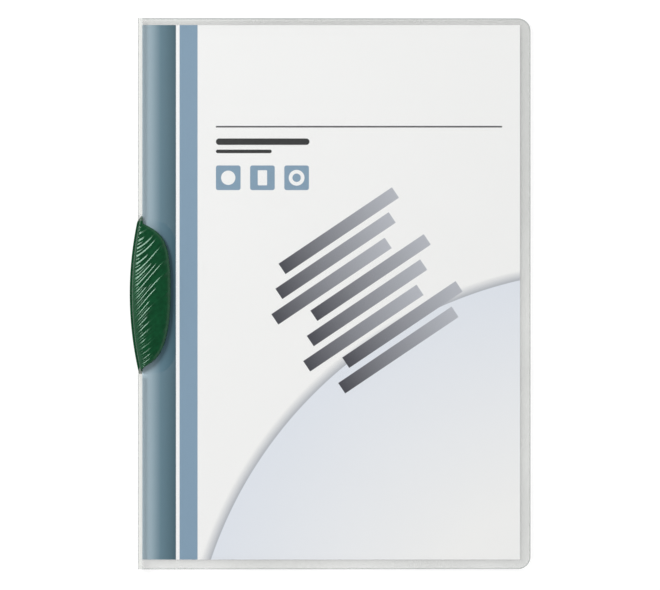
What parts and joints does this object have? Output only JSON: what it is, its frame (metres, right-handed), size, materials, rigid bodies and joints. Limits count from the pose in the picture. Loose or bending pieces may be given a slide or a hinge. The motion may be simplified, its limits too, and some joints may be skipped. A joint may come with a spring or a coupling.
{
  "type": "clip folder",
  "caption": "Flat A4 report folder: a clear plastic cover folded round a narrow spine, a printed sheet inside, and a ridged D-shaped spine clip that turns out on a rivet.",
  "frame": {"origin": "under the middle of the whole folder, on the surface that it lies on", "axes": "+Y towards the top of the page, +Z out of the front cover, spine and clip on the -X side"},
  "size_m": [0.2228, 0.306, 0.0074],
  "materials": {
    "clear_film": "clear polypropylene sheet",
    "frosted_film": "frosted polypropylene sheet",
    "paper": "smooth printed paper",
    "clip_plastic": "glossy moulded dark green"
  },
  "bodies": {
    "folder": {"back_cover": "frosted_film", "insert_sheet": "paper", "pivot_rivet": "clip_plastic"},
    "spine": {"spine_upper": "frosted_film", "spine_lower": "frosted_film"},
    "front": {"front_cover": "clear_film"},
    "clip_body": {"clip": "clip_plastic"}
  },
  "joints": [
    {"name": "spine_fold", "type": "hinge", "parent": "folder", "child": "spine", "pos_m": [-0.1066, 0, 0.0017], "axis": [0, -1, 0], "range_deg": [0, 90]},
    {"name": "front_fold", "type": "hinge", "parent": "spine", "child": "front", "pos_m": [-0.1066, 0, 0.006], "axis": [0, -1, 0], "range_deg": [0, 90]},
    {"name": "clip_turn", "type": "hinge", "parent": "folder", "child": "clip_body", "pos_m": [-0.1016, 0.038, 0.0007], "axis": [0, 0, -1], "range_deg": [0, 16]}
  ],
  "couplings": [
    {"joint": "spine_fold", "follows": "front_fold", "ratio": 1}
  ]
}
